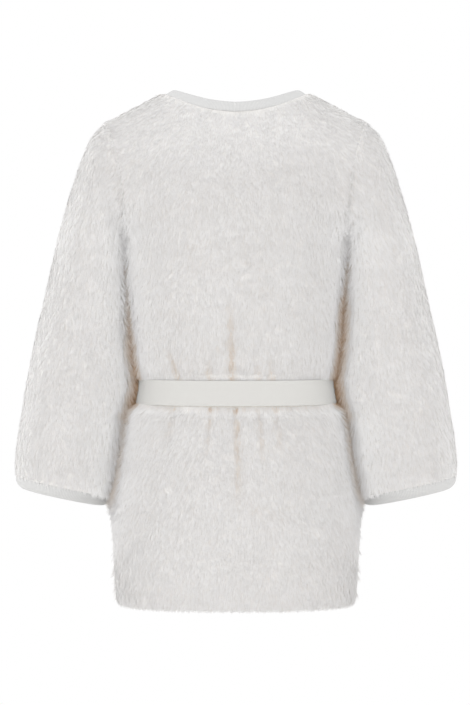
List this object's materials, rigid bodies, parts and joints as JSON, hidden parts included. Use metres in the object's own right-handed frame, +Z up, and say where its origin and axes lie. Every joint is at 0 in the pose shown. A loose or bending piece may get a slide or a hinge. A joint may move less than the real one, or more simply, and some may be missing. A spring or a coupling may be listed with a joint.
{
  "type": "belted cardigan",
  "caption": "Hip-length fur cardigan filled out as if worn, with wide three-quarter sleeves, a narrow neck band, cuff bands and a tied belt that gathers the waist.",
  "frame": {"origin": "midway between the two points where shoulder meets neck, on the inside of the cloth, where the wearer's shoulders carry it", "axes": "+Z up, +Y to the garment's back, front faces -Y, +X to the wearer's left"},
  "size_m": [0.648, 0.2676, 0.7473],
  "materials": {
    "fur": "short dense ivory fur on a soft backing",
    "knit": "fine ivory rib knit",
    "belt": "fine ivory cross-ribbed belt cloth"
  },
  "bodies": {
    "root": {"back_bodice": "fur", "back_skirt": "fur", "front_left_bodice": "fur", "front_left_skirt": "fur", "front_right_bodice": "fur", "front_right_skirt": "fur", "sleeve_left": "fur", "sleeve_right": "fur", "neck_band": "knit", "cuff_left": "knit", "cuff_right": "knit", "belt": "belt", "belt_knot": "belt", "belt_end_left": "belt", "belt_end_right": "belt"}
  },
  "joints": []
}
